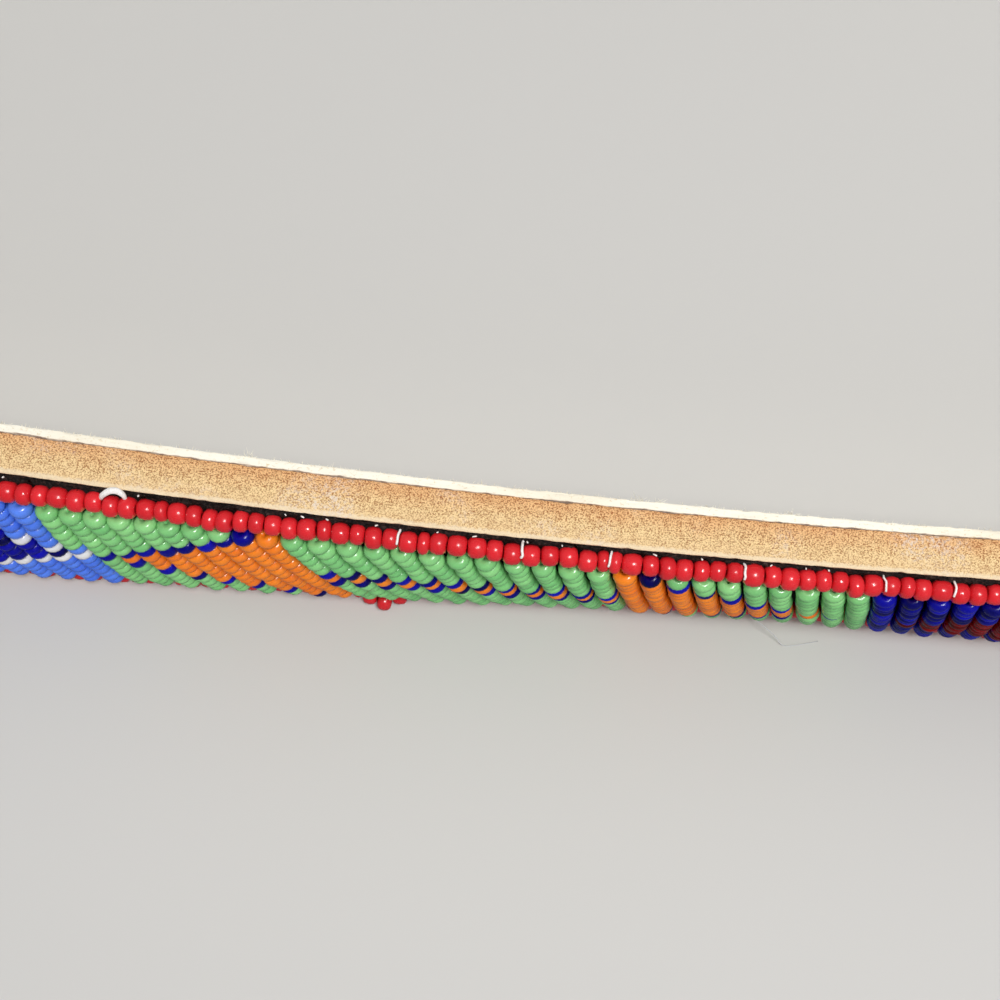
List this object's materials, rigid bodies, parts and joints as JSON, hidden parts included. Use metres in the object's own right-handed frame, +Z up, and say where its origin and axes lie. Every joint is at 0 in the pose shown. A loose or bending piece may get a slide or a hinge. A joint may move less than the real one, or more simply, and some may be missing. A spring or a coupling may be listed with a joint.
{
  "type": "beaded belt",
  "caption": "Leather belt buckled into a standing oval, with lanes of glass seed beads sewn across its outer face, a string of beads along each edge and a plain frame buckle.",
  "frame": {"origin": "middle of the footprint, on the surface that the belt stands on with its lower edge", "axes": "+X along the long way of the oval, left to right for who looks at the beaded front; +Y from the front to the buckle at the back; +Z up"},
  "size_m": [0.3808, 0.1742, 0.032],
  "materials": {
    "tan_leather": "raw fibrous cut edge, sanded, waxed on the sides",
    "cream_leather": "soft matte lining with a fuzzy cut edge",
    "dark_leather": "matte, rough cut edge",
    "red_beads": "opaque glossy seed beads",
    "green_beads": "opaque glossy seed beads",
    "blue_beads": "opaque glossy seed beads",
    "navy_beads": "transparent dark seed beads",
    "buckle_steel": "plain satin metal"
  },
  "bodies": {
    "root": {"strap_core": "tan_leather", "back_lining": "cream_leather", "bead_backing": "dark_leather", "bead_panel_1_navy": "navy_beads", "bead_panel_2_green": "green_beads", "bead_panel_3_blue": "blue_beads", "bead_panel_4_green": "green_beads", "bead_panel_5_navy": "navy_beads", "bead_panel_6_green": "green_beads", "bead_panel_7_blue": "blue_beads", "edge_beads_top": "red_beads", "edge_beads_bottom": "red_beads", "buckle": "buckle_steel"}
  },
  "joints": []
}
